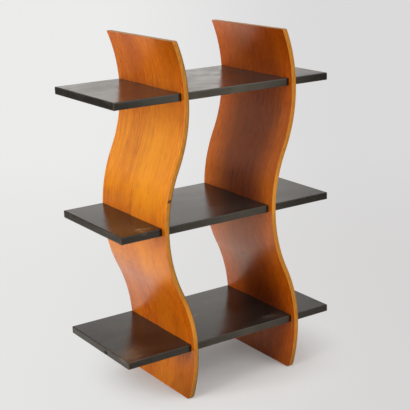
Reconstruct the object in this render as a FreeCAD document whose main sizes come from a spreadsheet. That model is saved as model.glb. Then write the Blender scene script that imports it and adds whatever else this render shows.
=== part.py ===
import FreeCAD, Part
import math
import os
import Sketcher

# A small rack of two S-bent laminated uprights that cross three flat shelves in halving joints.
# Lengths are in millimetres. +X runs along the shelves, +Y to the back, +Z up, and z = 0 is the
# surface that the uprights stand on.

# Driving dimensions: alias, value, meaning.
driving_sizes = [
    ("shelf_length", 300, "end to end of a shelf"),
    ("shelf_depth", 143.5, "front to back of a shelf"),
    ("shelf_thickness", 9, "board of a shelf"),
    ("shelf_pitch", 153, "one shelf's underside to the next one's"),
    ("foot_height", 59, "floor to the bottom shelf's underside"),
    ("head_height", 60, "top shelf's upper face to the uprights' top ends"),
    ("upright_depth", 150, "front to back of an upright"),
    ("upright_spacing", 153, "one upright to the other, along the shelves"),
    ("core_thickness", 4.8, "bent core of an upright"),
    ("veneer_thickness", 0.6, "face veneer on each side of the core"),
    ("bend_reach", 16.75, "sideways from an upright's middle line to the crest of a bend"),
    ("foot_radius", 5, "rounding of an upright's bottom corners"),
    ("notch_depth", 71.75, "notch in a shelf, from its front edge"),
    ("joint_play", 0.15, "gap at the sides, top and end of a halving joint"),
    ("edge_ease", 0.8, "rounding of a shelf's outer edges"),
]

# Each shelf, from the bottom up, and the side to which the uprights bend there.
shelf_bends = [("bottom_shelf", "right"), ("middle_shelf", "left"), ("top_shelf", "right")]

# Points of a sketch's geometry, and the sketch's own origin and horizontal axis.
start, end, centre = 1, 2, 3
origin = (-1, 1)
horizontal_axis = -1

# Two lengths closer than this count as the same.
match_tolerance = 1e-4


class Formula:
    # A size worked out from the sheet. The text binds a feature to the sheet's cells,
    # and the value places the geometry that the sketch's constraints then hold.
    def __init__(self, text, value):
        self.text = text
        self.value = value

    def __add__(self, other):
        return Formula(f"({self.text} + {text_of(other)})", self.value + value_of(other))

    def __sub__(self, other):
        return Formula(f"({self.text} - {text_of(other)})", self.value - value_of(other))

    def __mul__(self, other):
        return Formula(f"({self.text} * {text_of(other)})", self.value * value_of(other))

    def __truediv__(self, other):
        return Formula(f"({self.text} / {text_of(other)})", self.value / value_of(other))

    def __neg__(self):
        return Formula(f"(0 - {self.text})", -self.value)


def text_of(term):
    return term.text if isinstance(term, Formula) else str(term)


def value_of(term):
    return term.value if isinstance(term, Formula) else term


def square_root(term):
    return Formula(f"sqrt({term.text})", math.sqrt(term.value))


def new_sketch(body, name, plane_role):
    plane = next(feature for feature in body.Origin.OriginFeatures if feature.Role == plane_role)
    sketch = body.newObject("Sketcher::SketchObject", name)
    sketch.AttachmentSupport = [(plane, "")]
    sketch.MapMode = "FlatFace"
    return sketch


def relate(sketch, kind, *points):
    sketch.addConstraint(Sketcher.Constraint(kind, *points))


def measure(sketch, kind, *points, by):
    index = sketch.addConstraint(Sketcher.Constraint(kind, *points, by.value))
    sketch.setExpression(f"Constraints[{index}]", by.text)


def locate(sketch, kind, point, at):
    # Measures a point from the sketch's origin, on whichever side of it the point lies.
    if at.value < 0:
        measure(sketch, kind, *point, *origin, by=-at)
    else:
        measure(sketch, kind, *origin, *point, by=at)


def draw_rectangle(sketch, left, low, width, height):
    corners = [
        FreeCAD.Vector(left.value, low.value),
        FreeCAD.Vector(left.value + width.value, low.value),
        FreeCAD.Vector(left.value + width.value, low.value + height.value),
        FreeCAD.Vector(left.value, low.value + height.value),
    ]
    sides = [
        sketch.addGeometry(Part.LineSegment(corner, corners[(turn + 1) % 4]))
        for turn, corner in enumerate(corners)
    ]
    for turn, side in enumerate(sides):
        relate(sketch, "Coincident", side, end, sides[(turn + 1) % 4], start)
        relate(sketch, "Vertical" if turn % 2 else "Horizontal", side)
    locate(sketch, "DistanceX", (sides[0], start), left)
    locate(sketch, "DistanceY", (sides[0], start), low)
    measure(sketch, "DistanceX", sides[0], start, sides[0], end, by=width)
    measure(sketch, "DistanceY", sides[1], start, sides[1], end, by=height)


def draw_corner(sketch, edge, side):
    # What rounding takes off an upright's bottom corner: a square's two sides, closed by a quarter arc.
    way = 1 if side == "back" else -1
    across, radius = way * edge.value, foot_radius.value
    corner = FreeCAD.Vector(across, 0)
    on_floor = FreeCAD.Vector(across - way * radius, 0)
    on_edge = FreeCAD.Vector(across, radius)
    circle = Part.Circle(FreeCAD.Vector(on_floor.x, radius), FreeCAD.Vector(0, 0, 1), radius)
    sweep = (-math.pi / 2, 0) if side == "back" else (math.pi, 3 * math.pi / 2)
    arc_floor_end, arc_edge_end = (start, end) if side == "back" else (end, start)
    floor_line = sketch.addGeometry(Part.LineSegment(on_floor, corner))
    edge_line = sketch.addGeometry(Part.LineSegment(corner, on_edge))
    arc = sketch.addGeometry(Part.ArcOfCircle(circle, *sweep))
    relate(sketch, "PointOnObject", floor_line, start, horizontal_axis)
    relate(sketch, "PointOnObject", floor_line, end, horizontal_axis)
    relate(sketch, "Vertical", edge_line)
    relate(sketch, "Coincident", floor_line, end, edge_line, start)
    relate(sketch, "Tangent", arc, arc_floor_end, floor_line, start)
    relate(sketch, "Tangent", arc, arc_edge_end, edge_line, end)
    locate(sketch, "DistanceX", (edge_line, start), edge if side == "back" else -edge)
    measure(sketch, "Radius", arc, by=foot_radius)


def add_pad(body, sketch, length, side_type):
    pad = body.newObject("PartDesign::Pad", f"{body.Name}_pad")
    pad.Profile = (sketch, [""])
    pad.setExpression("Length", length.text)
    pad.SideType = side_type
    return pad


def cut_through(body, sketch, before):
    # Cuts both ways from the sketch's plane, and makes sure that it did cut.
    pocket = body.newObject("PartDesign::Pocket", f"{sketch.Name}_cut")
    pocket.Profile = (sketch, [""])
    pocket.Type = "ThroughAll"
    pocket.SideType = "Symmetric"
    doc.recompute()
    if not pocket.Shape.Volume < before.Shape.Volume:
        raise RuntimeError(f"{sketch.Name} cuts nothing")
    return pocket


def repeat_along(body, feature, sketch, sketch_axis, reach, count):
    pattern = body.newObject("PartDesign::LinearPattern", f"{feature.Name}_row")
    pattern.Originals = [feature]
    pattern.Direction = (sketch, [sketch_axis])
    pattern.setExpression("Length", reach.text)
    pattern.Occurrences = count
    body.Tip = pattern
    doc.recompute()
    return pattern


def round_edges(body, feature, chosen, radius):
    # Rounds the edges for which chosen(middle of the edge, its direction) is true.
    names = []
    for index, edge in enumerate(feature.Shape.Edges, start=1):
        along = edge.Vertexes[-1].Point - edge.Vertexes[0].Point
        if along.Length > 0 and chosen(edge.CenterOfMass, along.normalize()):
            names.append(f"Edge{index}")
    fillet = body.newObject("PartDesign::Fillet", f"{body.Name}_rounding")
    fillet.Base = (feature, names)
    fillet.setExpression("Radius", radius.text)
    body.Tip = fillet
    return fillet


def near(first, second):
    return abs(first - second) < match_tolerance


def draw_bends(sketch, left_face, right_face):
    # Outline of one bent layer, seen from the front: three tangent arcs on each face, about common
    # centres, between level end cuts. The faces are measured to the right of the upright's middle line.
    # Along the line that joins two centres, one arc hands over to the next.
    crest_heights = [foot_height + shelf_pitch * level for level in range(len(shelf_bends))]
    centre_reach = bend_radius - bend_reach
    centres = [-centre_reach if bend == "right" else centre_reach for _, bend in shelf_bends]
    turn_angle = math.asin(shelf_pitch.value / 2 / bend_radius.value)
    arcs = []
    for face in (left_face, right_face):
        for level, (_, bend) in enumerate(shelf_bends):
            way = 1 if bend == "right" else -1
            radius = bend_radius.value + way * face.value
            low, high = -turn_angle, turn_angle
            if level == 0:
                low = math.asin(-crest_heights[0].value / radius)
            if level == len(shelf_bends) - 1:
                high = math.asin((upright_height - crest_heights[level]).value / radius)
            sweep = (low, high) if way > 0 else (math.pi - high, math.pi - low)
            middle = FreeCAD.Vector(centres[level].value, crest_heights[level].value)
            circle = Part.Circle(middle, FreeCAD.Vector(0, 0, 1), radius)
            arcs.append(sketch.addGeometry(Part.ArcOfCircle(circle, *sweep)))
    count = len(shelf_bends)
    left_arcs, right_arcs = arcs[:count], arcs[count:]

    def lower_end(level):
        return start if shelf_bends[level][1] == "right" else end

    def upper_end(level):
        return end if shelf_bends[level][1] == "right" else start

    for level in range(count):
        locate(sketch, "DistanceX", (left_arcs[level], centre), centres[level])
        locate(sketch, "DistanceY", (left_arcs[level], centre), crest_heights[level])
        relate(sketch, "Coincident", left_arcs[level], centre, right_arcs[level], centre)
    measure(sketch, "Radius", left_arcs[0], by=bend_radius + left_face)
    measure(sketch, "Radius", right_arcs[0], by=bend_radius + right_face)
    for level in range(count - 1):
        below = sketch.getPoint(left_arcs[level], centre)
        above = sketch.getPoint(left_arcs[level + 1], centre)
        joint_line = sketch.addGeometry(Part.LineSegment(below, above), True)
        relate(sketch, "Coincident", joint_line, start, left_arcs[level], centre)
        relate(sketch, "Coincident", joint_line, end, left_arcs[level + 1], centre)
        for face_arcs in (left_arcs, right_arcs):
            relate(sketch, "PointOnObject", face_arcs[level], upper_end(level), joint_line)
            relate(sketch, "Coincident", face_arcs[level], upper_end(level),
                   face_arcs[level + 1], lower_end(level + 1))
    for level, arc_end in ((0, lower_end(0)), (count - 1, upper_end(count - 1))):
        left_point = sketch.getPoint(left_arcs[level], arc_end)
        right_point = sketch.getPoint(right_arcs[level], arc_end)
        cut = sketch.addGeometry(Part.LineSegment(left_point, right_point))
        relate(sketch, "Coincident", cut, start, left_arcs[level], arc_end)
        relate(sketch, "Coincident", cut, end, right_arcs[level], arc_end)
        relate(sketch, "Horizontal", cut)
        if level == 0:
            relate(sketch, "PointOnObject", cut, start, horizontal_axis)
        else:
            locate(sketch, "DistanceY", (cut, start), upright_height)


def make_layer(label, left_face, right_face, middle_line):
    # One layer of an upright: the bent outline carried from front to back, slotted from the back
    # edge at each shelf, with its two bottom corners rounded.
    body = doc.addObject("PartDesign::Body", label)
    outline = new_sketch(body, f"{label}_bends", "XZ_Plane")
    draw_bends(outline, left_face, right_face)
    sheet_pad = add_pad(body, outline, upright_depth, "Symmetric")
    doc.recompute()
    slot = new_sketch(body, f"{label}_slot", "YZ_Plane")
    slot_end = back_edge - shelf_depth + notch_depth - joint_play
    draw_rectangle(slot, slot_end, foot_height, back_edge - slot_end + past_edge,
                   shelf_thickness + joint_play)
    slot_cut = cut_through(body, slot, sheet_pad)
    slots = repeat_along(body, slot_cut, slot, "V_Axis", shelf_pitch * (len(shelf_bends) - 1),
                         len(shelf_bends))

    corners = new_sketch(body, f"{label}_corners", "YZ_Plane")
    draw_corner(corners, back_edge, "back")
    draw_corner(corners, back_edge, "front")
    body.Tip = cut_through(body, corners, slots)
    body.setExpression("Placement.Base.x", middle_line.text)
    return body


def make_shelf(label, bend, level):
    # A board whose back is level with the uprights' back edges, notched from the front for each upright.
    body = doc.addObject("PartDesign::Body", label)
    board = new_sketch(body, f"{label}_board", "XY_Plane")
    front_edge = back_edge - shelf_depth
    draw_rectangle(board, -(shelf_length / 2), front_edge, shelf_length, shelf_depth)
    board_pad = add_pad(body, board, shelf_thickness, "One side")
    doc.recompute()
    notch = new_sketch(body, f"{label}_notch", "XY_Plane")
    if bend == "right":
        notch_left = bend_reach - half_upright - lean_through_shelf - joint_play - upright_spacing / 2
    else:
        notch_left = -bend_reach - half_upright - joint_play - upright_spacing / 2
    draw_rectangle(notch, notch_left, front_edge - past_edge,
                   upright_thickness + lean_through_shelf + joint_play * 2, notch_depth + past_edge)
    notch_cut = cut_through(body, notch, board_pad)
    notches = repeat_along(body, notch_cut, notch, "H_Axis", upright_spacing, 2)

    def outer_edge(middle, along):
        on_end = near(abs(middle.x), shelf_length.value / 2)
        on_side = near(middle.y, front_edge.value) or near(middle.y, back_edge.value)
        on_face = near(middle.z, 0) or near(middle.z, shelf_thickness.value)
        return on_end + on_side + on_face == 2 and (on_end or near(abs(along.x), 1))

    round_edges(body, notches, outer_edge, edge_ease)
    body.setExpression("Placement.Base.z", (foot_height + shelf_pitch * level).text)
    return body


doc = FreeCAD.newDocument("cd_rack")
sheet = doc.addObject("Spreadsheet::Sheet", "Sizes")
for row, (alias, value, meaning) in enumerate(driving_sizes, start=1):
    sheet.set(f"A{row}", str(value))
    sheet.setAlias(f"A{row}", alias)
    sheet.set(f"B{row}", meaning)
doc.recompute()


def from_sheet(alias):
    return Formula(f"Sizes.{alias}", float(sheet.get(alias)))


shelf_length = from_sheet("shelf_length")
shelf_depth = from_sheet("shelf_depth")
shelf_thickness = from_sheet("shelf_thickness")
shelf_pitch = from_sheet("shelf_pitch")
foot_height = from_sheet("foot_height")
head_height = from_sheet("head_height")
upright_depth = from_sheet("upright_depth")
upright_spacing = from_sheet("upright_spacing")
core_thickness = from_sheet("core_thickness")
veneer_thickness = from_sheet("veneer_thickness")
bend_reach = from_sheet("bend_reach")
foot_radius = from_sheet("foot_radius")
notch_depth = from_sheet("notch_depth")
joint_play = from_sheet("joint_play")
edge_ease = from_sheet("edge_ease")

# Sizes that follow from the driving ones. Every crest stands level with a shelf's underside, so two
# neighbouring arcs, one shelf pitch apart and bent opposite ways, touch half way between the shelves.
half_pitch = shelf_pitch / 2
bend_radius = (half_pitch * half_pitch + bend_reach * bend_reach) / (bend_reach * 2)
upright_height = foot_height + shelf_pitch * (len(shelf_bends) - 1) + shelf_thickness + head_height
upright_thickness = core_thickness + veneer_thickness * 2
half_core = core_thickness / 2
half_upright = upright_thickness / 2
back_edge = upright_depth / 2
# How far an upright leans away from its crest on its way up through a shelf.
inner_radius = bend_radius - half_upright
radius_left = square_root(inner_radius * inner_radius - shelf_thickness * shelf_thickness)
lean_through_shelf = inner_radius - radius_left
# How far the outline of a slot or notch runs past the edge that it opens.
past_edge = shelf_thickness

# The uprights: in each, a core between a left and a right face veneer.
layers = [
    ("left_veneer", -half_upright, -half_core),
    ("core", -half_core, half_core),
    ("right_veneer", half_core, half_upright),
]
middle_lines = [("left_upright", -(upright_spacing / 2)), ("right_upright", upright_spacing / 2)]
sub_parts = []
for upright, middle_line in middle_lines:
    for layer, left_face, right_face in layers:
        sub_parts.append(make_layer(f"{upright}_{layer}", left_face, right_face, middle_line))

# The shelves, from the bottom up.
for level, (shelf, bend) in enumerate(shelf_bends):
    sub_parts.append(make_shelf(shelf, bend, level))

doc.recompute()
for item in doc.Objects:
    if "Invalid" in item.State or "Error" in item.State:
        raise RuntimeError(f"{item.Label} failed: {item.State}")
for body in sub_parts:
    if body.Shape.isNull() or not body.Shape.isValid() or len(body.Shape.Solids) != 1:
        raise RuntimeError(f"{body.Label} is not one valid solid")

os.makedirs("parts", exist_ok=True)
for body in sub_parts:
    body.Shape.exportStep(f"parts/{body.Label}.step")
    box = body.Shape.BoundBox
    print(f"{body.Label}: {body.Shape.Volume:.1f} mm3, x {box.XMin:.2f} to {box.XMax:.2f}, "
          f"y {box.YMin:.2f} to {box.YMax:.2f}, z {box.ZMin:.2f} to {box.ZMax:.2f}")
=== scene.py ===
import math

import bpy
import numpy as np
from mathutils import Matrix, Vector


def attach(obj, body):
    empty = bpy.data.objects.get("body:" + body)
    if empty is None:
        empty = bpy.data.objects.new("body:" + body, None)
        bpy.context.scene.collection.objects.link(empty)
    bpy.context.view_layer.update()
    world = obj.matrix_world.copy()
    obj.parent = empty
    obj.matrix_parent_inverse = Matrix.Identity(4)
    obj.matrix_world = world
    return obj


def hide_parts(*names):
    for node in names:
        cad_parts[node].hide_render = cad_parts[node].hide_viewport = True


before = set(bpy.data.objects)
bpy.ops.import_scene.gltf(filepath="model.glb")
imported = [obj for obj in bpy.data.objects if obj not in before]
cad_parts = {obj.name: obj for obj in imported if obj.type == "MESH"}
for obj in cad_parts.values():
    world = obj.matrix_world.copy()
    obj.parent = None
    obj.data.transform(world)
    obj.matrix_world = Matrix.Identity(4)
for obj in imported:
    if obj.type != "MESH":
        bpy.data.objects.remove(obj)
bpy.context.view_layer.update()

# Disc rack of two S-bent laminated uprights and three black shelves.
# Metres, +X along the shelves, +Y to the back, +Z up, as in the CAD frame.
mm = 0.001

scene = bpy.context.scene
scene.view_settings.view_transform = "Standard"


# Meshes

meshing = {
    "tooNear": 0.4,  # an even grid line within this share of a step from a fixed one is left out
    "arrisAngles": (0, 18, 36, 54, 72, 90),  # degrees round an arris
    "sharpFrom": 38,  # degrees between two faces, above which their edge is shaded sharp
    "digits": 7, "slack": 1e-7,  # rounding of places in metres
    "least": 1e-9,  # keeps a division from being by nothing
}


def gridLines(low, high, step, fixed, rim):
    # Even lines from low to high, the fixed ones, and the rim distances in from both ends.
    # An even line that comes too near one of the others is left out.
    kept = np.concatenate([[low, high], fixed, low + rim, high - rim])
    kept = np.unique(np.round(kept, meshing["digits"]))
    even = np.linspace(low, high, int(round((high - low) / step)) + 1)
    clear = np.abs(even[:, None] - kept[None, :]).min(axis=1) > meshing["tooNear"] * step
    return np.sort(np.concatenate([kept, even[clear]]))


def cellsOutside(uLines, vLines, cuts):
    # True for the cells of the grid that lie in none of the cuts (uLow, uHigh, vLow, vHigh).
    u = (uLines[1:] + uLines[:-1])[:, None] / 2
    v = (vLines[1:] + vLines[:-1])[None, :] / 2
    solid = np.ones((u.size, v.size), bool)
    for uLow, uHigh, vLow, vHigh in cuts:
        solid &= ~((u > uLow) & (u < uHigh) & (v > vLow) & (v < vHigh))
    return solid


def drawIn(values, ends, inset, rim):
    # The two ends move in by the inset, and the rim behind each closes up evenly.
    low = np.clip(1 - (values - ends[0]) / rim, 0, 1)
    high = np.clip(1 - (ends[1] - values) / rim, 0, 1)
    return values + inset * (low - high)


def roundedOutline(u, v, inset, uEnds, vEnds, rim, lowRadius, highRadius):
    # The rectangle's border is drawn in by the inset, then each square corner is pressed onto a quarter
    # disc: a point past the corner's centre keeps its larger offset as its distance from that centre.
    u, v = drawIn(u, uEnds, inset, rim), drawIn(v, vEnds, inset, rim)
    for vEnd, vWay, radius in ((vEnds[0], -1, lowRadius), (vEnds[1], 1, highRadius)):
        for uEnd, uWay in ((uEnds[0], -1), (uEnds[1], 1)):
            a = uWay * (u - uEnd) + radius
            b = vWay * (v - vEnd) + radius
            past = (a > 0) & (b > 0)
            press = np.where(past, np.maximum(a, b) / np.maximum(np.hypot(a, b), meshing["least"]), 1.0)
            u = np.where(past, uEnd + uWay * (a * press - radius), u)
            v = np.where(past, vEnd + vWay * (b * press - radius), v)
    return u, v


def arrisLevels(low, high, faces, arris, between=()):
    # Levels of one layer of a sheet, with the border's inset at each: a quarter circle of the arris's
    # radius below either face of the whole sheet, and nothing further in.
    rise = arris * (1 - np.cos(np.radians(meshing["arrisAngles"])))
    level = np.concatenate([[low, high], between, faces[0] + rise, faces[1] - rise])
    inside = (level > low - meshing["slack"]) & (level < high + meshing["slack"])
    level = np.unique(np.round(level[inside], meshing["digits"]))
    depth = np.clip(np.minimum(level - faces[0], faces[1] - level), 0, arris)
    return np.stack([level, arris - np.sqrt(arris ** 2 - (arris - depth) ** 2)], axis=-1)


def stackedSheet(name, uLines, vLines, solid, levels, place):
    # A closed sheet: both faces are grids over (u, v) where solid is true, at the first and last level,
    # and along every border of the solid cells a wall runs through all the levels.
    # place(u, v, level, inset) gives the points and a dictionary of point attributes.
    shape = (len(levels), len(uLines), len(vLines))
    level, inset = levels[:, 0][:, None, None], levels[:, 1][:, None, None]
    u, v, level, inset = np.broadcast_arrays(uLines[None, :, None], vLines[None, None, :], level, inset)
    points, attributes = place(u, v, level, inset)
    index = np.arange(np.prod(shape)).reshape(shape)
    # The four corners of each cell.
    a, b, c, d = index[:, :-1, :-1], index[:, 1:, :-1], index[:, 1:, 1:], index[:, :-1, 1:]
    grown = np.pad(solid, 1)

    def wall(opened, first, second):
        p, q = first[:, opened], second[:, opened]
        return np.stack([p[:-1], q[:-1], q[1:], p[1:]], axis=-1).reshape(-1, 4)

    faces = np.concatenate([
        np.stack([a[0], d[0], c[0], b[0]], axis=-1)[solid],
        np.stack([a[-1], b[-1], c[-1], d[-1]], axis=-1)[solid],
        wall(solid & ~grown[:-2, 1:-1], d, a),
        wall(solid & ~grown[2:, 1:-1], b, c),
        wall(solid & ~grown[1:-1, :-2], a, b),
        wall(solid & ~grown[1:-1, 2:], c, d),
    ])
    used, corners = np.unique(faces, return_inverse=True)
    mesh = bpy.data.meshes.new(name)
    mesh.vertices.add(used.size)
    mesh.vertices.foreach_set("co", points.reshape(-1, 3)[used].astype(np.float32).ravel())
    mesh.loops.add(corners.size)
    mesh.loops.foreach_set("vertex_index", corners.astype(np.int32).ravel())
    mesh.polygons.add(len(faces))
    mesh.polygons.foreach_set("loop_start", np.arange(0, corners.size, 4, dtype=np.int32))
    mesh.update(calc_edges=True)
    for key, values in attributes.items():
        kind, field, width = ("FLOAT_VECTOR", "vector", 3) if values.ndim == 4 else ("FLOAT", "value", 1)
        data = mesh.attributes.new(key, kind, "POINT").data
        data.foreach_set(field, values.reshape(-1, width)[used].astype(np.float32).ravel())
    mesh.shade_smooth()
    mesh.set_sharp_from_angle(angle=math.radians(meshing["sharpFrom"]))
    piece = bpy.data.objects.new(name, mesh)
    scene.collection.objects.link(piece)
    return piece


def edgeDistance(u, v, level, uEnds, vEnds, levelEnds):
    # How far a point on the sheet's outside is from its nearest arris: the middle one of its distances
    # to the three pairs of sides.
    gaps = [np.minimum(value - ends[0], ends[1] - value)
            for value, ends in ((u, uEnds), (v, vEnds), (level, levelEnds))]
    return np.sort(np.stack(gaps), axis=0)[1]


def finishPiece(piece, material, node):
    piece.data.materials.append(material)
    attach(piece, "root")
    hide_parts(node)


# Shader helpers: a socket given as input is linked, and anything else is set on the input itself.

def feed(tree, target, source):
    if isinstance(source, bpy.types.NodeSocket):
        tree.links.new(source, target)
    else:
        target.default_value = source


def addNode(tree, kind, inputs=(), **settings):
    node = tree.nodes.new(kind)
    for key, value in settings.items():
        setattr(node, key, value)
    for key, value in dict(inputs).items():
        feed(tree, node.inputs[key], value)
    return node


def calc(tree, operation, first, second=0.0):
    return addNode(tree, "ShaderNodeMath", {0: first, 1: second}, operation=operation).outputs[0]


def farFrom(tree, value, place):
    return calc(tree, "ABSOLUTE", calc(tree, "SUBTRACT", value, place))


def vectorCalc(tree, operation, first, second, output="Vector"):
    node = addNode(tree, "ShaderNodeVectorMath", {0: first, 1: second}, operation=operation)
    return node.outputs[output]


def noise(tree, flat, cells, seed, detail=1.0, roughness=0.5, distortion=0.0):
    # Noise of so many cells to a metre each way, moved aside by the seed.
    place = vectorCalc(tree, "ADD", vectorCalc(tree, "MULTIPLY", flat, cells), seed)
    node = addNode(tree, "ShaderNodeTexNoise", {"Vector": place, "Scale": 1.0, "Detail": detail,
                                                "Roughness": roughness, "Distortion": distortion})
    return node.outputs["Fac"]


def ramp(tree, value, low, high, toLow=0.0, toHigh=1.0):
    # Smooth step from toLow at low to toHigh at high.
    node = addNode(tree, "ShaderNodeMapRange", {0: value, 1: low, 2: high, 3: toLow, 4: toHigh},
                   interpolation_type="SMOOTHSTEP")
    return node.outputs[0]


def blendColor(tree, factor, first, second, mode="MIX"):
    # Inputs 6 and 7 and output 2 are the colours of the Mix node.
    node = addNode(tree, "ShaderNodeMix", {0: factor, 6: first, 7: second}, data_type="RGBA",
                   blend_type=mode)
    return node.outputs[2]


def tint(tree, color, tone, mask, share=1.0):
    # The color goes over to the tone where the mask is 1, by the share at most.
    return blendColor(tree, calc(tree, "MULTIPLY", mask, share), color, tone)


def bumped(tree, height, strength, distance):
    return addNode(tree, "ShaderNodeBump", {"Height": height, "Strength": strength, "Distance": distance})


def pointAttribute(tree, name, output):
    return addNode(tree, "ShaderNodeAttribute", attribute_name=name).outputs[output]


def splitVector(tree, vector):
    return addNode(tree, "ShaderNodeSeparateXYZ", {0: vector}).outputs


def joinVector(tree, x=0.0, y=0.0, z=0.0):
    return addNode(tree, "ShaderNodeCombineXYZ", {0: x, 1: y, 2: z}).outputs[0]


def newGroup(name, inputs, outputs):
    # A group with number inputs beside Flat, the place on the sheet, and with number outputs.
    group = bpy.data.node_groups.new(name, "ShaderNodeTree")
    group.interface.new_socket("Flat", in_out="INPUT", socket_type="NodeSocketVector")
    for label in inputs:
        group.interface.new_socket(label, in_out="INPUT", socket_type="NodeSocketFloat")
    for label in outputs:
        group.interface.new_socket(label, in_out="OUTPUT", socket_type="NodeSocketFloat")
    return group, addNode(group, "NodeGroupInput").outputs, addNode(group, "NodeGroupOutput").inputs


def fillGroup(tree, group, inputs):
    node = addNode(tree, "ShaderNodeGroup", node_tree=group)
    for key, value in inputs.items():
        feed(tree, node.inputs[key], value)
    return node.outputs


def newMaterial(name):
    material = bpy.data.materials.new(name)
    material.use_nodes = True
    return material, material.node_tree, material.node_tree.nodes["Principled BSDF"]


# Shared effects. Flat holds metres across the grain, along it and through the board, and a pattern's
# cells are counted to the metre in the same three ways.

figure = {
    "sway": (14, 4, 14), "swayBy": 4 * mm, "bands": (48, 1.4, 48),
    "streakDetail": (3.0, 0.68), "streakAlong": 0.17,  # cells along the grain to one across it
    "lines": (760, 14, 760), "lineTones": (0.50, 0.64), "bunches": (30, 5, 30), "bunchTones": (0.34, 0.60),
    "dashes": (360, 46, 360), "dashTones": (0.60, 0.72), "thinDetail": (1.0, 0.4),
}
rubbing = {
    "patches": (60, 60, 60), "detail": (4.0, 0.65), "tones": (0.38, 0.72), "fade": (0.25, 1.0),
    "least": 1e-5,  # keeps a division from being by nothing
}
clouding = {"cells": (28, 18, 28), "detail": (4.0, 0.6, 0.4), "tones": (0.3, 0.7)}


def makeWoodGrain():
    # Streak is the grain itself, straight and some six times as long as it is wide, Band the slow change of
    # tone from strip to strip, Line the thin dark lines of late wood that come in bunches, Fleck the short
    # dark dashes of gum and pores.
    group, given, put = newGroup("woodGrain", ["Seed", "Streaks"], ["Streak", "Band", "Line", "Fleck"])
    streaks, seed = given["Streaks"], joinVector(group, given["Seed"], given["Seed"], given["Seed"])
    sway = noise(group, given["Flat"], figure["sway"], seed)
    sway = joinVector(group, calc(group, "MULTIPLY", sway, figure["swayBy"]))
    flat = vectorCalc(group, "ADD", given["Flat"], sway)
    cells = joinVector(group, streaks, calc(group, "MULTIPLY", streaks, figure["streakAlong"]), streaks)
    feed(group, put["Streak"], noise(group, flat, cells, seed, *figure["streakDetail"]))
    feed(group, put["Band"], noise(group, flat, figure["bands"], seed))
    lines = noise(group, flat, figure["lines"], seed, *figure["thinDetail"])
    lines = ramp(group, lines, *figure["lineTones"])
    bunches = ramp(group, noise(group, flat, figure["bunches"], seed), *figure["bunchTones"])
    feed(group, put["Line"], calc(group, "MULTIPLY", lines, bunches))
    dashes = noise(group, flat, figure["dashes"], seed, *figure["thinDetail"])
    feed(group, put["Fleck"], ramp(group, dashes, *figure["dashTones"]))
    return group


def makeEdgeWear():
    # Wear is 1 on a rubbed arris and fades over an uneven width.
    group, given, put = newGroup("edgeWear", ["Edge", "Width"], ["Wear"])
    patches = noise(group, given["Flat"], rubbing["patches"], (0, 0, 0), *rubbing["detail"])
    reach = calc(group, "MULTIPLY", given["Width"], ramp(group, patches, *rubbing["tones"]))
    share = calc(group, "DIVIDE", given["Edge"], calc(group, "MAXIMUM", reach, rubbing["least"]))
    feed(group, put["Wear"], ramp(group, share, *rubbing["fade"], 1.0, 0.0))
    return group


def makeHandling():
    # Cloud is the soft unevenness that polish, dust and hands leave on a lacquered face.
    group, given, put = newGroup("handling", ["Seed"], ["Cloud"])
    seed = joinVector(group, given["Seed"], given["Seed"], given["Seed"])
    clouds = noise(group, given["Flat"], clouding["cells"], seed, *clouding["detail"])
    feed(group, put["Cloud"], ramp(group, clouds, *clouding["tones"]))
    return group


woodGrain, edgeWear, handling = makeWoodGrain(), makeEdgeWear(), makeHandling()


def grainTone(tree, grain, streakShare, bandShare):
    return calc(tree, "ADD", calc(tree, "MULTIPLY", grain["Streak"], streakShare),
                calc(tree, "MULTIPLY", grain["Band"], bandShare))


# Uprights: each is a sheet 6 mm thick that swings 16.75 mm to each side of its middle line.

upright = {
    "height": 434 * mm, "depth": 150 * mm, "thickness": 6 * mm, "veneer": 0.6 * mm,
    "middles": {"left": -76.5 * mm, "right": 76.5 * mm},
    "reach": 16.75 * mm, "crests": np.array([59, 212, 365]) * mm, "pitch": 153 * mm,
    "footRadius": 5 * mm, "headRadius": 1.5 * mm, "arris": 0.4 * mm,
    "slotEnd": 3.1 * mm, "slotHeight": 9.15 * mm,
    # steps of the grid across and up, lines behind its border, and levels within the core
    "steps": (4 * mm, 2 * mm), "rim": np.array([0.3, 0.6, 1.0, 1.6, 2.4, 3.3, 4.2, 5.0]) * mm,
    "coreLevels": (-0.8 * mm, 0.0, 0.8 * mm),
}
bendRadius = ((upright["pitch"] / 2) ** 2 + upright["reach"] ** 2) / (2 * upright["reach"])
bendTurn = math.asin(upright["pitch"] / 2 / bendRadius)


def bendArc(z, offset):
    # Which of the three arcs holds the height z on the face that lies offset to the right of the middle
    # sheet, and the side to which that arc swings.
    first = upright["crests"][0] + (bendRadius + offset) * math.sin(bendTurn)
    second = upright["crests"][1] + (bendRadius - offset) * math.sin(bendTurn)
    arc = (z > first).astype(int) + (z > second)
    return arc, np.where(arc == 1, -1.0, 1.0)


def bendX(z, offset):
    # Sideways place of a face: concentric arcs about a centre level with each crest.
    arc, side = bendArc(z, offset)
    rise = z - upright["crests"][arc]
    return side * (upright["reach"] - bendRadius + np.sqrt((bendRadius + side * offset) ** 2 - rise ** 2))


def bendLength(z):
    # Length along the middle of the sheet, measured from the lowest crest.
    arc, _ = bendArc(z, 0.0 * z)
    return bendRadius * (np.arcsin((z - upright["crests"][arc]) / bendRadius) + 2 * bendTurn * arc)


def lengthAt(height):
    return float(bendLength(np.array(height)))


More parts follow.
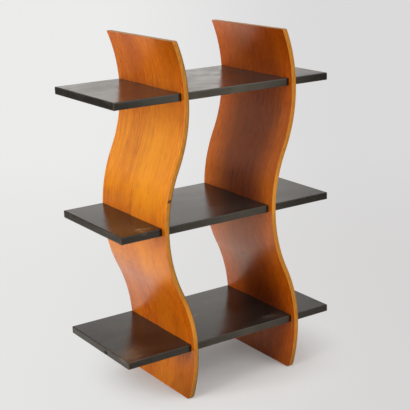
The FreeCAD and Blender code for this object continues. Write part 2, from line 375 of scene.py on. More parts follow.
coreEdge = {
    "light": (0.54, 0.212, 0.018, 1), "dark": (0.38, 0.138, 0.010, 1), "pale": (0.70, 0.27, 0.026, 1),
    "glue": (0.17, 0.065, 0.012, 1), "shadeAndGrime": (0.075, 0.050, 0.022, 1), "mark": (0.07, 0.024, 0.006, 1),
    "endCut": (0.36, 0.19, 0.080, 1),
    "streaks": 900.0, "tones": (0.3, 0.7), "roughness": (0.42, 0.55), "ior": 1.25, "bump": (0.15, 0.2 * mm),
    "paleCore": 0.2, "paleShare": 0.7, "markFade": (0.3, 0.6), "markShare": 0.9,
    "glueLines": (-0.8 * mm, 0.8 * mm), "glueWidth": (0.03 * mm, 0.16 * mm), "glueShare": 0.5,
    # darker towards the foot, fully below the first height and not at all above the second
    "foot": (4 * mm, 38 * mm), "footShare": 0.45,
    # from how far inside the edges the front and the sawn top count
    "frontFade": (0.4 * mm, 0.15 * mm), "endCutFade": (1.1 * mm, 0.3 * mm), "endCutShare": 0.7,
    # painted shade along the right-hand arris, which faces away from the lamps at the left, by its depth
    # through the sheet, and its long uneven runs
    "arrisShadeDepth": (1.3 * mm, 2.5 * mm), "runs": (20, 20, 20), "runDetail": 3.0,
    "runTones": (0.30, 0.55, 0.35, 1.0),
    # for each upright, how strong that painted shade is, a paler stretch as a height and reach, and the
    # marks across the front edge by the heights of their two ends
    "left": {"seed": 3.0, "arrisShadeShare": 0.85, "stretch": (98 * mm, 40 * mm),
             "marks": [(251.2 * mm, 255.3 * mm)]},
    "right": {"seed": 8.0, "arrisShadeShare": 0.35, "stretch": (236 * mm, 45 * mm), "marks": []},
}
veneer = {
    "fleck": (0.20, 0.040, 0.003, 1), "line": (0.29, 0.048, 0.001, 1), "darkenedAndShaded": (0.10, 0.012, 0.001, 1),
    "knot": (0.05, 0.014, 0.004, 1), "endCut": (0.32, 0.16, 0.065, 1),
    "streaks": 520.0, "toneShares": (0.75, 0.35), "tones": (0.37, 0.74), "bump": (0.09, 0.2 * mm),
    "stripCore": 0.2, "stripLift": 0.45, "beltCore": 0.15, "lineShare": 0.5, "fleckShare": 0.3,
    "footShare": 0.14, "frontShare": 0.75, "endCutShare": 0.8, "knotCore": 0.12, "knotBare": 0.6,
    "roughness": (0.24, 0.34), "ior": 1.12, "varnish": 1.28, "varnishRoughness": 0.27,
    "bareVarnish": (0.0, 0.6, 1.0, 0.25), "bareFoot": (15 * mm, 62 * mm),
    # for each upright, the dark and light tones of the plain sheet and of paler belts, painted light on the
    # stretches the lamps light most, the belts as (height, reach, strength), a paler strip as its place
    # across and half width, how much varnish is left on the foot, darker places with thinner varnish as
    # (across, height, reach, strength): front corners at top and foot, and painted shade just above the
    # shelves; and the pin knots and one bruise on the left-hand face as (across, height, reach, squash
    # along the grain, strength)
    "left": {
        "seed": 11.0, "plain": ((0.35, 0.058, 0.0, 1), (0.535, 0.128, 0.001, 1)),
        "paintedLitTones": ((0.56, 0.155, 0.001, 1), (0.70, 0.242, 0.002, 1)),
        "belts": [(288 * mm, 95 * mm, 1.0), (172 * mm, 45 * mm, 0.45), (0, 60 * mm, 0.25)],
        "strip": (-18 * mm, 36 * mm), "footVarnish": 0.3,
        "darkenedAndShaded": [(-75 * mm, 434 * mm, 75 * mm, 0.58), (-75 * mm, 0, 62 * mm, 0.55),
                    # painted shade just above the bottom shelf
                    (-30 * mm, 92 * mm, 62 * mm, 0.18)],
        "knots": [(31 * mm, 152 * mm, 1.6 * mm, 0.6, 0.9)],
    },
    "right": {
        "seed": 4.7, "plain": ((0.37, 0.056, 0.0, 1), (0.57, 0.115, 0.001, 1)),
        "paintedLitTones": ((0.47, 0.092, 0.002, 1), (0.62, 0.150, 0.004, 1)),
        "belts": [(230 * mm, 165 * mm, 1.0)],
        "strip": (20 * mm, 36 * mm), "footVarnish": 0.7,
        "darkenedAndShaded": [(-75 * mm, 434 * mm, 85 * mm, 0.58), (-75 * mm, 0, 30 * mm, 0.20),
                    # painted shade just above the bottom and middle shelves, where the left upright's
                    # shadow falls
                    (-6 * mm, 86 * mm, 55 * mm, 0.34), (-6 * mm, 236 * mm, 45 * mm, 0.15)],
        "knots": [(-4.2 * mm, 300.5 * mm, 1.6 * mm, 0.6, 0.9), (45.5 * mm, 246 * mm, 1.6 * mm, 0.6, 0.9),
                  (12 * mm, 247 * mm, 4.0 * mm, 0.8, 0.35), (10.2 * mm, 135.5 * mm, 7 * mm, 2.8, 0.65)],
    },
}


def endCutMask(tree, along):
    # 1 on the sawn top of an upright, from just inside its arris.
    top = lengthAt(upright["height"])
    low, high = (top - inside for inside in coreEdge["endCutFade"])
    return ramp(tree, along, low, high)


def frontMask(tree, across):
    # 1 on the narrow front and back edges of an upright.
    low, high = (upright["depth"] / 2 - inside for inside in coreEdge["frontFade"])
    return ramp(tree, calc(tree, "ABSOLUTE", across), low, high)


def footMask(tree, along, share):
    low, high = (lengthAt(height) for height in coreEdge["foot"])
    return ramp(tree, along, low, high, share, 0.0)


# Painted shade along the right-hand arris, in long uneven runs.
def arrisShadeMask(tree, flat, depth, seed):
    runs = noise(tree, flat, coreEdge["runs"], (seed, seed, seed), coreEdge["runDetail"])
    reach = ramp(tree, depth, *coreEdge["arrisShadeDepth"])
    return calc(tree, "MULTIPLY", reach, ramp(tree, runs, *coreEdge["runTones"]))


def spotDistance(tree, flat, place, height, squash):
    # Distance over the face from a spot given by its place across and its height, squashed along the grain.
    spot = (place, squash * lengthAt(height), 0)
    return vectorCalc(tree, "DISTANCE", vectorCalc(tree, "MULTIPLY", flat, (1, squash, 0)), spot, "Value")


def veneerMaterial(side):
    material, tree, shader = newMaterial(f"{side}Veneer")
    sheet, edge = veneer[side], coreEdge[side]
    flat = pointAttribute(tree, "flat", "Vector")
    across, along, depth = splitVector(tree, flat)
    grain = fillGroup(tree, woodGrain, {"Flat": flat, "Seed": sheet["seed"], "Streaks": veneer["streaks"]})
    cloud = fillGroup(tree, handling, {"Flat": flat, "Seed": sheet["seed"]})["Cloud"]
    place, width = sheet["strip"]
    away = farFrom(tree, across, place)
    lift = ramp(tree, away, veneer["stripCore"] * width, width, veneer["stripLift"], 0.0)
    tone = grainTone(tree, grain, *veneer["toneShares"])
    tone = calc(tree, "ADD", ramp(tree, tone, *veneer["tones"]), lift)
    belt = 0.0
    for height, reach, strength in sheet["belts"]:
        away = farFrom(tree, along, lengthAt(height))
        faded = ramp(tree, away, veneer["beltCore"] * reach, reach, strength, 0.0)
        belt = calc(tree, "MAXIMUM", belt, faded)
    # paler belts, painted light on the stretches the lamps light most
    plain, paintedLitTones = (blendColor(tree, tone, *sheet[key]) for key in ("plain", "paintedLitTones"))
    color = blendColor(tree, belt, plain, paintedLitTones)
    color = tint(tree, color, veneer["line"], grain["Line"], veneer["lineShare"])
    color = tint(tree, color, veneer["fleck"], grain["Fleck"], veneer["fleckShare"])
    bare = 0.0
    # darker places with thinner varnish: front corners at top and foot, and painted shade above the shelves
    for place, height, reach, strength in sheet["darkenedAndShaded"]:
        darkenedAndShaded = ramp(tree, spotDistance(tree, flat, place, height, 1.0), 0.0, reach, strength, 0.0)
        color = tint(tree, color, veneer["darkenedAndShaded"], darkenedAndShaded)
        bare = calc(tree, "ADD", bare, darkenedAndShaded)
    color = tint(tree, color, coreEdge["shadeAndGrime"], footMask(tree, along, veneer["footShare"]))
    leftFace = calc(tree, "LESS_THAN", depth, 0.0)
    for place, height, reach, squash, strength in sheet["knots"]:
        spot = spotDistance(tree, flat, place, height, squash)
        knot = ramp(tree, spot, veneer["knotCore"] * reach, reach, strength, 0.0)
        knot = calc(tree, "MULTIPLY", leftFace, knot)
        color = tint(tree, color, veneer["knot"], knot)
        bare = calc(tree, "ADD", bare, calc(tree, "MULTIPLY", knot, veneer["knotBare"]))
    front = frontMask(tree, across)
    color = tint(tree, color, coreEdge["light"], front, veneer["frontShare"])
    # painted shade along the right-hand arris of the front and back edges
    shadedArris = calc(tree, "MULTIPLY", arrisShadeMask(tree, flat, depth, edge["seed"]), front)
    color = tint(tree, color, coreEdge["shadeAndGrime"], shadedArris, edge["arrisShadeShare"])
    color = tint(tree, color, veneer["endCut"], endCutMask(tree, along), veneer["endCutShare"])
    feed(tree, shader.inputs["Base Color"], color)
    feed(tree, shader.inputs["Roughness"], ramp(tree, cloud, 0.0, 1.0, *veneer["roughness"]))
    shader.inputs["IOR"].default_value = veneer["ior"]
    low, high = (lengthAt(height) for height in veneer["bareFoot"])
    varnished = ramp(tree, along, low, high, sheet["footVarnish"], 1.0)
    varnished = calc(tree, "MULTIPLY", ramp(tree, bare, *veneer["bareVarnish"]), varnished)
    feed(tree, shader.inputs["Coat Weight"], varnished)
    shader.inputs["Coat IOR"].default_value = veneer["varnish"]
    shader.inputs["Coat Roughness"].default_value = veneer["varnishRoughness"]
    feed(tree, shader.inputs["Normal"], bumped(tree, grain["Streak"], *veneer["bump"]).outputs[0])
    return material


def coreMaterial(side):
    material, tree, shader = newMaterial(f"{side}PlyEdge")
    edge = coreEdge[side]
    flat = pointAttribute(tree, "flat", "Vector")
    across, along, depth = splitVector(tree, flat)
    grain = fillGroup(tree, woodGrain, {"Flat": flat, "Seed": edge["seed"], "Streaks": coreEdge["streaks"]})
    tone = ramp(tree, grain["Streak"], *coreEdge["tones"])
    color = blendColor(tree, tone, coreEdge["dark"], coreEdge["light"])
    height, reach = edge["stretch"]
    away = farFrom(tree, along, lengthAt(height))
    pale = ramp(tree, away, coreEdge["paleCore"] * reach, reach, coreEdge["paleShare"], 0.0)
    color = tint(tree, color, coreEdge["pale"], pale)
    color = tint(tree, color, coreEdge["shadeAndGrime"], footMask(tree, along, coreEdge["footShare"]))
    for line in coreEdge["glueLines"]:
        glue = ramp(tree, farFrom(tree, depth, line), *coreEdge["glueWidth"], coreEdge["glueShare"], 0.0)
        color = tint(tree, color, coreEdge["glue"], glue)
    # painted shade along the right-hand arris
    color = tint(tree, color, coreEdge["shadeAndGrime"], arrisShadeMask(tree, flat, depth, edge["seed"]), edge["arrisShadeShare"])
    for ends in edge["marks"]:
        low, high = (lengthAt(height) for height in ends)
        inner, outer = (share * (high - low) for share in coreEdge["markFade"])
        mark = ramp(tree, farFrom(tree, along, (low + high) / 2), inner, outer, coreEdge["markShare"], 0.0)
        color = tint(tree, color, coreEdge["mark"], mark, calc(tree, "LESS_THAN", across, 0.0))
    color = tint(tree, color, coreEdge["endCut"], endCutMask(tree, along), coreEdge["endCutShare"])
    feed(tree, shader.inputs["Base Color"], color)
    matt = ramp(tree, grain["Band"], *coreEdge["tones"], *coreEdge["roughness"])
    feed(tree, shader.inputs["Roughness"], matt)
    shader.inputs["IOR"].default_value = coreEdge["ior"]
    feed(tree, shader.inputs["Normal"], bumped(tree, grain["Streak"], *coreEdge["bump"]).outputs[0])
    return material


def makeUprights():
    half, skin, arris, rim = upright["thickness"] / 2, upright["veneer"], upright["arris"], upright["rim"]
    faces, zEnds = (-half, half), (0.0, upright["height"])
    yEnds = (-upright["depth"] / 2, upright["depth"] / 2)
    slots = [(upright["slotEnd"], yEnds[1], crest, crest + upright["slotHeight"])
             for crest in upright["crests"]]
    yStep, zStep = upright["steps"]
    yLines = gridLines(*yEnds, yStep, [upright["slotEnd"]], rim)
    zLines = gridLines(*zEnds, zStep, np.ravel([slot[2:] for slot in slots]), rim)
    solid = cellsOutside(yLines, zLines, slots)
    coreLevels = arrisLevels(skin - half, half - skin, faces, arris, upright["coreLevels"])
    layers = {
        "LeftVeneer": ("left_veneer", "face_veneer", arrisLevels(-half, skin - half, faces, arris)),
        "Core": ("core", "core_ply", coreLevels),
        "RightVeneer": ("right_veneer", "face_veneer", arrisLevels(half - skin, half, faces, arris)),
    }
    for side, middle in upright["middles"].items():
        finishes = {"face_veneer": veneerMaterial(side), "core_ply": coreMaterial(side)}

        def placeLayer(u, v, offset, inset):
            radii = upright["footRadius"], upright["headRadius"]
            y, z = roundedOutline(u, v, inset, yEnds, zEnds, rim[-1], *radii)
            points = np.stack([middle + bendX(z, offset), y, z], axis=-1)
            return points, {"flat": np.stack([y, bendLength(z), offset], axis=-1)}

        for layer, (node, slot, levels) in layers.items():
            piece = stackedSheet(f"{side}Upright{layer}", yLines, zLines, solid, levels, placeLayer)
            finishPiece(piece, finishes[slot], f"{side}_upright_{node}")


makeUprights()
print("uprights made")


# Shelves

shelves = {
    "length": 300 * mm, "front": -68.5 * mm, "back": 75 * mm, "thickness": 9 * mm, "arris": 0.8 * mm,
    "notchEnd": 3.25 * mm, "cornerRadius": 0.5 * mm,
    # step of the grid, lines behind its border, levels within the board, and lines about a dent
    "step": 2 * mm, "rim": np.array([0.25, 0.5, 0.8, 1.2, 1.8, 2.6, 3.6]) * mm,
    "levels": np.array([1.4, 2.4, 4.5, 6.6, 7.6]) * mm, "dentLines": np.array([-1.6, -0.8, 0, 0.8, 1.6]),
    # the front edges are paler, most at one x, less over a reach to its left and to its right, and not at
    # all beside the uprights, which leaves a strip of painted shade there; every arris is rubbed a little
    "palest": (30 * mm, 150 * mm, 75 * mm), "crossingReach": (4.8 * mm, 8 * mm), "rubbedAll": 0.03,
    # a dent's height and half height as shares of the thickness, and how fast it darkens as painted shade
    # in the hollow
    "dentLevel": (0.28, 0.25), "dentTone": 2.2,
    # underside height, notch sides from each upright's middle line, paler tone of the front edge, then
    # marks on the top as (x, y, length, width, strength), rubbed places on the arrises as (x, y, reach,
    # strength) and dents in the left end as (y, reach, depth)
    "bottom": {
        "z": 59 * mm, "notch": (13.375 * mm, 19.9 * mm), "seed": 2.0, "paleFront": 0.7,
        "scuffs": [(66 * mm, -53 * mm, 12 * mm, 4 * mm, 0.26), (83 * mm, 45 * mm, 16 * mm, 6 * mm, 0.10)],
        "smudges": [
            (-130 * mm, -42 * mm, 14 * mm, 9 * mm, 0.5), (-138 * mm, -56 * mm, 16 * mm, 8 * mm, 0.7),
            (-100 * mm, 34 * mm, 16 * mm, 14 * mm, 0.55), (46 * mm, 28 * mm, 24 * mm, 18 * mm, 0.45),
            (-12 * mm, 2 * mm, 20 * mm, 16 * mm, 0.6), (10 * mm, 20 * mm, 70 * mm, 50 * mm, 0.22),
            (70 * mm, -56 * mm, 18 * mm, 6 * mm, 0.6),
        ],
        "rubbed": [(-146 * mm, -68 * mm, 26 * mm, 0.35), (-150 * mm, -30 * mm, 40 * mm, 0.2)],
        "dents": [(-14 * mm, 1.9 * mm, 2.6 * mm)],
    },
    "middle": {
        "z": 212 * mm, "notch": (-19.9 * mm, -13.6 * mm), "seed": 7.0, "paleFront": 0.65,
        "scuffs": [(-120 * mm, -59.5 * mm, 3 * mm, 9 * mm, 0.9),
                   (-112 * mm, -56 * mm, 9 * mm, 3 * mm, 0.7)],
        "smudges": [(-138 * mm, -46 * mm, 16 * mm, 18 * mm, 0.38),
                    (-122 * mm, -58 * mm, 12 * mm, 8 * mm, 0.35)],
        "rubbed": [(-150 * mm, -68 * mm, 25 * mm, 0.2)], "dents": [],
    },
    "top": {
        "z": 365 * mm, "notch": (13.375 * mm, 19.9 * mm), "seed": 13.0, "paleFront": 1.0,
        "scuffs": [],
        "smudges": [(-128 * mm, 10 * mm, 20 * mm, 14 * mm, 0.2),
                    (-140 * mm, -58 * mm, 14 * mm, 8 * mm, 0.3)],
        "rubbed": [(-150 * mm, -68 * mm, 20 * mm, 0.12)], "dents": [],
    },
}
blackBoard = {
    "light": (0.012, 0.009, 0.006, 1), "dark": (0.003, 0.0027, 0.002, 1), "paleFront": (0.078, 0.069, 0.052, 1),
    "worn": (0.13, 0.070, 0.032, 1), "scuff": (0.30, 0.22, 0.14, 1), "dent": (0.004, 0.003, 0.002, 1),
    "smudge": (0.140, 0.098, 0.062, 1), "dustAndSheen": (0.050, 0.060, 0.058, 1),
    "streaks": 420.0, "toneShares": (0.7, 0.4), "tones": (0.35, 0.75), "wearWidth": 3.0 * mm,
    # how the uneven polish breaks up the brown film, the paler front and the smudges, and the grain the
    # scuffs
    "film": (0.35, 1.0, 0.0, 0.12), "paleFrontBreakup": (0.0, 1.0, 0.7, 1.0), "smudging": (0.1, 0.8, 0.4, 1.0),
    "scuffing": (0.3, 0.7),
    # a grey veil on the top in slow swells, dust and painted reflection of the uprights' sheen in the
    # gloss, little of it on the left end; the same swells bend the gloss
    "topFade": (0.5 * mm, 0.1 * mm), "swells": (45, 16, 45), "dustAndSheenTones": (0.25, 0.75, 0.05, 0.40),
    "dustAndSheenSpread": (-100 * mm, -50 * mm, 0.15, 1.0), "wave": (0.07, 1.2 * mm),
    "roughness": (0.18, 0.27), "mattWear": 0.2, "mattDent": 0.7,
    "mattArris": (0.2 * mm, 1.0 * mm, 0.35, 0.0), "ior": 1.44, "bump": (0.08, 0.2 * mm),
}


def boardMaterial(name, seed):
    material, tree, shader = newMaterial(name)
    flat = pointAttribute(tree, "flat", "Vector")
    scuff, smudge, paleFront, dent, rubbed, border = (
        pointAttribute(tree, key, "Fac") for key in ("scuff", "smudge", "paleFront", "dent", "rubbed", "edge"))
    _, along, level = splitVector(tree, flat)
    grain = fillGroup(tree, woodGrain, {"Flat": flat, "Seed": seed, "Streaks": blackBoard["streaks"]})
    cloud = fillGroup(tree, handling, {"Flat": flat, "Seed": seed})["Cloud"]
    arris = {"Flat": flat, "Edge": border, "Width": blackBoard["wearWidth"]}
    wear = calc(tree, "MULTIPLY", fillGroup(tree, edgeWear, arris)["Wear"], rubbed)
    scuffed = calc(tree, "MULTIPLY", scuff, ramp(tree, grain["Streak"], *blackBoard["scuffing"]))
    low, high = (shelves["thickness"] - inside for inside in blackBoard["topFade"])
    upper = ramp(tree, level, low, high)
    swell = noise(tree, flat, blackBoard["swells"], (seed, seed, seed))
    dustAndSheenSpread = calc(tree, "MULTIPLY", upper, ramp(tree, along, *blackBoard["dustAndSheenSpread"]))
    tone = grainTone(tree, grain, *blackBoard["toneShares"])
    stain = ramp(tree, tone, *blackBoard["tones"])
    color = blendColor(tree, stain, blackBoard["dark"], blackBoard["light"])
    color = tint(tree, color, blackBoard["smudge"], upper, ramp(tree, cloud, *blackBoard["film"]))
    # grey veil on the top: dust and painted reflection of the uprights' sheen
    color = tint(tree, color, blackBoard["dustAndSheen"], dustAndSheenSpread, ramp(tree, swell, *blackBoard["dustAndSheenTones"]))
    # paler front edges, which stay dark beside the uprights as painted shade
    color = tint(tree, color, blackBoard["paleFront"], paleFront, ramp(tree, cloud, *blackBoard["paleFrontBreakup"]))
    color = tint(tree, color, blackBoard["smudge"], smudge, ramp(tree, cloud, *blackBoard["smudging"]))
    color = tint(tree, color, blackBoard["worn"], wear)
    color = tint(tree, color, blackBoard["scuff"], scuffed)
    # the dent darkened, painted shade in the hollow
    color = tint(tree, color, blackBoard["dent"], dent)
    feed(tree, shader.inputs["Base Color"], color)
    matt = ramp(tree, cloud, 0.0, 1.0, *blackBoard["roughness"])
    worn = calc(tree, "MAXIMUM", wear, scuffed)
    matt = calc(tree, "ADD", matt, calc(tree, "MULTIPLY", worn, blackBoard["mattWear"]))
    matt = calc(tree, "ADD", matt, calc(tree, "MULTIPLY", dent, blackBoard["mattDent"]))
    matt = calc(tree, "ADD", matt, ramp(tree, border, *blackBoard["mattArris"]))
    feed(tree, shader.inputs["Roughness"], matt)
    shader.inputs["IOR"].default_value = blackBoard["ior"]
    bump = bumped(tree, tone, *blackBoard["bump"])
    feed(tree, bump.inputs["Normal"], bumped(tree, swell, *blackBoard["wave"]).outputs[0])
    feed(tree, shader.inputs["Normal"], bump.outputs[0])
    return material


def makeShelf(name):
    shelf = shelves[name]
    xEnds, yEnds = (-shelves["length"] / 2, shelves["length"] / 2), (shelves["front"], shelves["back"])
    thickness, rim, step = shelves["thickness"], shelves["rim"], shelves["step"]
    notches = [(middle + shelf["notch"][0], middle + shelf["notch"][1], yEnds[0], shelves["notchEnd"])
               for middle in upright["middles"].values()]
    xLines = gridLines(*xEnds, step, np.ravel([notch[:2] for notch in notches]), rim)
    dentLines = np.ravel([atY + reach * shelves["dentLines"] for atY, reach, _ in shelf["dents"]])
    yLines = gridLines(*yEnds, step, np.append(dentLines, shelves["notchEnd"]), rim)
    levels = arrisLevels(0.0, thickness, (0.0, thickness), shelves["arris"], shelves["levels"])

    def spread(x, y, marks):
        # Bell-shaped spots, added up.
        return sum((strength * np.exp(-((x - atX) / long) ** 2 - ((y - atY) / wide) ** 2)
                    for atX, atY, long, wide, strength in marks), np.zeros(x.shape))

    def placeBoard(u, v, level, inset):
        # A flat board with rounded corners; a dent pushes the left end in by a bell-shaped bite.
        radius = shelves["cornerRadius"]
        x, y = roundedOutline(u, v, inset, xEnds, yEnds, rim[-1], radius, radius)
        dent, leftEnd = np.zeros(x.shape), u < xEnds[0] + rim[-1]
        middle, half = (share * thickness for share in shelves["dentLevel"])
        for atY, reach, depth in shelf["dents"]:
            bite = np.exp(-((y - atY) / reach) ** 2 - ((level - middle) / half) ** 2)
            x = np.maximum(x, xEnds[0] + depth * bite * leftEnd)
            dent = np.where(leftEnd, np.clip(shelves["dentTone"] * bite, 0, 1), dent)
        palest, leftReach, rightReach = shelves["palest"]
        away = (x - palest) / np.where(x < palest, leftReach, rightReach)
        # beside each upright the paler front tone fades out, a strip of painted shade
        crossing = np.min([np.abs(x - (notch[0] + notch[1]) / 2) for notch in notches], axis=0)
        paleFront = shelf["paleFront"] * np.exp(-away ** 2) * np.interp(crossing, shelves["crossingReach"], (0, 1))
        top = level > 0.5 * thickness
        rubbed = [(atX, atY, reach, reach, strength) for atX, atY, reach, strength in shelf["rubbed"]]
        return np.stack([x, y, shelf["z"] + level], axis=-1), {
            "flat": np.stack([y, x, level], axis=-1),
            "edge": edgeDistance(u, v, level, xEnds, yEnds, (0.0, thickness)),
            "scuff": np.where(top, spread(x, y, shelf["scuffs"]), 0.0),
            "smudge": np.where(top, np.minimum(spread(x, y, shelf["smudges"]), 1.0), 0.0),
            "rubbed": np.minimum(shelves["rubbedAll"] + spread(x, y, rubbed), 1.0),
            "paleFront": np.where(v == yEnds[0], paleFront, 0.0),
            "dent": dent,
        }

    solid = cellsOutside(xLines, yLines, notches)
    piece = stackedSheet(f"{name}Shelf", xLines, yLines, solid, levels, placeBoard)
    finishPiece(piece, boardMaterial(f"{name}Board", shelf["seed"]), f"{name}_shelf")


for shelfName in ("bottom", "middle", "top"):
    makeShelf(shelfName)
print("shelves made")


# Studio: across runs to the right of the picture and along away from the eye, both level.

camera = {
    "azimuth": -34.552, "elevation": 16.680, "roll": -0.0268, "lens": 93.810, "shift": (-0.0670, 0.03487),
    "place": (-0.69490, -1.08118, 0.58183), "sensor": 36.0,
}
paper = {
    "floorFront": -2.6, "floorBack": 1.3, "bend": 0.7, "wallHeight": 2.2, "halfWidth": 1.6,
    "floorLines": 12, "bendLines": 25, "acrossLines": 9,
    "color": (0.83, 0.815, 0.795, 1), "roughness": 0.9, "specular": 0.1,
    # the pale tone that the eye sees, lighter at the left than at the right as painted light, and the share
    # of it on the nearer floor
    "paleLeft": (0.835, 0.835, 0.83, 1), "paleRight": (0.71, 0.70, 0.705, 1), "paleSpan": (-0.35, 0.35),
    "floor": (0.945, 0.945, 0.935, 1), "floorSpan": (0.3, 1.3),
    # the paper shows its own light and shadow about this place, with a little of the pale tone
    "shadowCentre": (25 * mm, 0, 0), "shadowSpan": (0.09, 0.19), "shadowPale": 0.15,
}
glossRoom = {
    # painted reflections: tones the paper sends out to glossy rays only, the room as a gloss mirrors it:
    # the floor as shares of the pale tone, the wall above it, and the spans over which one goes over to the
    # next
    "near": (1.15, 1.07, 0.97, 1), "back": (1.95, 1.92, 1.76, 1), "backSpan": (0.22, 0.40),
    "besideAt": -0.16, "beside": (0.06, 0.22, 0.4, 0.0), "besideSpan": (0.06, 0.22),
    "ahead": (0.60, 0.54, 0.48, 1), "aheadAt": -0.2, "aheadSpan": (0.08, 0.28, 1.0, 0.0),
    "aheadSide": (-0.05, 0.05),
    "far": (0.42, 0.37, 0.33, 1), "farSpan": (0.60, 0.81), "floorTop": (0.30, 0.60),
    "wall": (1.36, 1.30, 1.24, 1), "wallHigh": (0.62, 0.59, 0.56, 1), "highSpan": (0.62, 0.95),
    "wallRight": (0.42, 0.40, 0.38, 1), "rightSpan": (0.05, 0.45),
    "wallTop": (0.08, 0.075, 0.07, 1), "topSpan": (1.0, 1.3),
}
sideCard = {
    # a tall card at the left that glows with painted light, brighter towards its top, which the uprights'
    # varnish and the boards' ends mirror
    "across": -1.55, "along": (-0.1, 2.0), "height": (0.0, 1.0), "roughness": 0.9,
    "low": (0.20, 0.19, 0.17, 1), "high": (0.76, 0.73, 0.70, 1), "span": (0.20, 0.42),
}
sky = {"fill": 0.01, "mirrored": 0.05, "seen": 0.74, "plain": (1, 1, 1, 1), "tint": (1, 0.97, 0.92, 1)}
lampAim = (0.0, 0.0, 0.2)
lamps = {
    # soft boxes round the object: azimuth 0 stands at its left, 90 in front of it
    "leftHigh": {"azimuth": 0, "elevation": 23, "distance": 1.7, "size": 0.7, "power": 7.6},
    "leftBack": {"azimuth": -14, "elevation": 4, "distance": 1.7, "size": 0.35, "power": 10.7},
    "leftFront": {"azimuth": 12, "elevation": 8, "distance": 1.7, "size": 0.4, "power": 7.2},
    "frontLow": {"azimuth": 104, "elevation": 22, "distance": 1.7, "size": 1.5, "power": 15.2},
    "frontRight": {"azimuth": 130, "elevation": 40, "distance": 1.7, "size": 1.0, "power": 7.2},
    "right": {"azimuth": 170, "elevation": 20, "distance": 1.7, "size": 1.0, "power": 3.9},
    "rearRight": {"azimuth": -130, "elevation": 45, "distance": 1.7, "size": 1.0, "power": 3.0},
    "overLeft": {"azimuth": 0, "elevation": 65, "distance": 1.7, "size": 1.6, "power": 12.7},
    "overBack": {"azimuth": -90, "elevation": 60, "distance": 1.7, "size": 1.4, "power": 2.0},
}
viewCos, viewSin = math.cos(math.radians(camera["azimuth"])), math.sin(math.radians(camera["azimuth"]))


def pictureRays(tree):
    # The rays that carry a picture: straight to the eye, and off a gloss or through glass.
    path = addNode(tree, "ShaderNodeLightPath").outputs
    return path["Is Camera Ray"], calc(tree, "MAXIMUM", path["Is Glossy Ray"], path["Is Transmission Ray"])


def showPicture(tree, shader, factor, tone):
    # Where the factor is 1 the surface sends out the tone, and where it is 0 it takes light as any other.
    glow = addNode(tree, "ShaderNodeEmission", {"Color": tone, "Strength": 1.0}).outputs[0]
    mixed = addNode(tree, "ShaderNodeMixShader", {0: factor, 1: shader.outputs[0], 2: glow})
    tree.links.new(mixed.outputs[0], tree.nodes["Material Output"].inputs["Surface"])


def mirroredRoom(tree, pale, across, along, height):
    # Painted reflections, sent out to glossy rays only: the floor, brighter behind the object and at its
    # left, darker ahead of it and far to the sides, and the wall, which darkens to the right and upwards.
    beside = ramp(tree, farFrom(tree, across, glossRoom["besideAt"]), *glossRoom["beside"])
    beside = calc(tree, "MULTIPLY", beside, ramp(tree, along, *glossRoom["besideSpan"]))
    back = calc(tree, "MAXIMUM", ramp(tree, along, *glossRoom["backSpan"]), beside)
    ahead = ramp(tree, farFrom(tree, along, glossRoom["aheadAt"]), *glossRoom["aheadSpan"])
    ahead = calc(tree, "MULTIPLY", ahead, ramp(tree, across, *glossRoom["aheadSide"]))
    far = ramp(tree, calc(tree, "ABSOLUTE", across), *glossRoom["farSpan"])
    floor = blendColor(tree, back, glossRoom["near"], glossRoom["back"])
    floor = blendColor(tree, ahead, floor, glossRoom["ahead"])
    floor = blendColor(tree, far, floor, glossRoom["far"])
    floor = blendColor(tree, 1.0, pale, floor, "MULTIPLY")
    high = ramp(tree, height, *glossRoom["highSpan"])
    wall = blendColor(tree, high, glossRoom["wall"], glossRoom["wallHigh"])
    wall = blendColor(tree, ramp(tree, across, *glossRoom["rightSpan"]), wall, glossRoom["wallRight"])
    wall = blendColor(tree, ramp(tree, height, *glossRoom["topSpan"]), wall, glossRoom["wallTop"])
    return blendColor(tree, ramp(tree, height, *glossRoom["floorTop"]), floor, wall)


def paperMaterial():
    # Near the object the paper takes light and shadow, lifted a little. Further off it glows: the eye sees
    # its pale tone, lighter at the left as painted light, and a gloss the painted reflection of a room.
    material, tree, shader = newMaterial("paper")
    shader.inputs["Base Color"].default_value = paper["color"]
    shader.inputs["Roughness"].default_value = paper["roughness"]
    shader.inputs["Specular IOR Level"].default_value = paper["specular"]
    place = addNode(tree, "ShaderNodeTexCoord").outputs["Object"]
    across = vectorCalc(tree, "DOT_PRODUCT", place, (viewCos, viewSin, 0), "Value")
    along = vectorCalc(tree, "DOT_PRODUCT", place, (-viewSin, viewCos, 0), "Value")
    height = splitVector(tree, place)["Z"]
    seen, mirrored = pictureRays(tree)
    side = ramp(tree, across, *paper["paleSpan"])
    pale = blendColor(tree, side, paper["paleLeft"], paper["paleRight"])
    floor = blendColor(tree, 1.0, pale, paper["floor"], "MULTIPLY")
    pale = blendColor(tree, ramp(tree, along, *paper["floorSpan"]), floor, pale)
    tone = blendColor(tree, mirrored, pale, mirroredRoom(tree, pale, across, along, height))
    away = vectorCalc(tree, "DISTANCE", place, paper["shadowCentre"], "Value")
    outside = ramp(tree, away, *paper["shadowSpan"], paper["shadowPale"], 1.0)
    showPicture(tree, shader, calc(tree, "MULTIPLY", outside, calc(tree, "MAXIMUM", seen, mirrored)), tone)
    return material


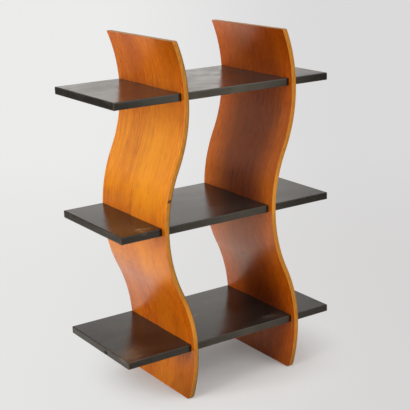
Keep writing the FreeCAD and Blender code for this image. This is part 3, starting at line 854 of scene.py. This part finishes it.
def cardMaterial():
    # The card glows: the eye sees the paper's tone, and a gloss painted light, brighter towards the top as
    # if the card were lit from above.
    material, tree, shader = newMaterial("card")
    shader.inputs["Base Color"].default_value = paper["color"]
    shader.inputs["Roughness"].default_value = sideCard["roughness"]
    seen, mirrored = pictureRays(tree)
    height = splitVector(tree, addNode(tree, "ShaderNodeTexCoord").outputs["Object"])["Z"]
    # painted light, brighter towards the card's top
    paintedLight = blendColor(tree, ramp(tree, height, *sideCard["span"]), sideCard["low"], sideCard["high"])
    tone = blendColor(tree, seen, paintedLight, paper["paleLeft"])
    showPicture(tree, shader, calc(tree, "MAXIMUM", seen, mirrored), tone)
    return material


def stageSheet(name, across, along, height, material):
    # A sheet over a grid of (across, along, height), turned to face the camera.
    x, y = across * viewCos - along * viewSin, across * viewSin + along * viewCos
    points = np.stack([x, y, height], axis=-1)
    index = np.arange(across.size).reshape(across.shape)
    faces = np.stack([index[:-1, :-1], index[:-1, 1:], index[1:, 1:], index[1:, :-1]], axis=-1)
    mesh = bpy.data.meshes.new(name)
    mesh.from_pydata(points.reshape(-1, 3).tolist(), [], faces.reshape(-1, 4).tolist())
    mesh.shade_smooth()
    mesh.materials.append(material)
    sheet = bpy.data.objects.new(name, mesh)
    scene.collection.objects.link(sheet)
    return sheet


def makeBackdrop():
    # Seamless paper: a straight floor, a quarter-circle bend and a wall, carried across the width.
    turn = np.linspace(0, math.pi / 2, paper["bendLines"])
    bend, back, wide = paper["bend"], paper["floorBack"], paper["halfWidth"]
    floor = np.linspace(paper["floorFront"], back, paper["floorLines"])[:-1]
    along = np.concatenate([floor, back + bend * np.sin(turn), [back + bend]])
    height = np.concatenate([0 * floor, bend * (1 - np.cos(turn)), [paper["wallHeight"]]])
    across = np.linspace(-wide, wide, paper["acrossLines"])
    across, along, height = np.broadcast_arrays(across[None, :], along[:, None], height[:, None])
    backdrop = stageSheet("backdrop", across, along, height, paperMaterial())
    along, height = np.meshgrid(sideCard["along"], sideCard["height"])
    across = np.full(along.shape, sideCard["across"])
    side = stageSheet("sideCard", across, along, height, cardMaterial())


def makeLights():
    world = bpy.data.worlds.new("studioFill")
    world.use_nodes = True
    tree = world.node_tree
    light = tree.nodes["Background"].inputs
    seen, mirrored = pictureRays(tree)
    feed(tree, light["Color"], blendColor(tree, mirrored, sky["plain"], sky["tint"]))
    strength = ramp(tree, mirrored, 0.0, 1.0, sky["fill"], sky["mirrored"])
    feed(tree, light["Strength"], ramp(tree, seen, 0.0, 1.0, strength, sky["seen"]))
    scene.world = world
    for name, box in lamps.items():
        azimuth, elevation = math.radians(box["azimuth"]), math.radians(box["elevation"])
        level = math.cos(elevation)
        way = Vector((-math.cos(azimuth) * level, -math.sin(azimuth) * level, math.sin(elevation)))
        lamp = bpy.data.lights.new(name, "AREA")
        lamp.shape = "SQUARE"
        lamp.size = box["size"]
        lamp.energy = box["power"]
        holder = bpy.data.objects.new(name, lamp)
        holder.location = Vector(lampAim) + box["distance"] * way
        holder.rotation_euler = (-way).to_track_quat("-Z", "Y").to_euler()
        scene.collection.objects.link(holder)


def makeCamera():
    elevation = math.radians(camera["elevation"])
    level = math.cos(elevation)
    look = Vector((-viewSin * level, viewCos * level, -math.sin(elevation)))
    right = look.cross(Vector((0, 0, 1))).normalized()
    up = right.cross(look)
    cos, sin = math.cos(camera["roll"]), math.sin(camera["roll"])
    axes = Matrix((cos * right + sin * up, cos * up - sin * right, -look)).transposed()
    data = bpy.data.cameras.new("camera")
    data.sensor_width = camera["sensor"]
    data.lens = camera["lens"]
    data.shift_x, data.shift_y = camera["shift"]
    holder = bpy.data.objects.new("camera", data)
    holder.matrix_world = Matrix.Translation(camera["place"]) @ axes.to_4x4()
    scene.collection.objects.link(holder)
    scene.camera = holder


makeBackdrop()
makeLights()
makeCamera()
print("studio made")
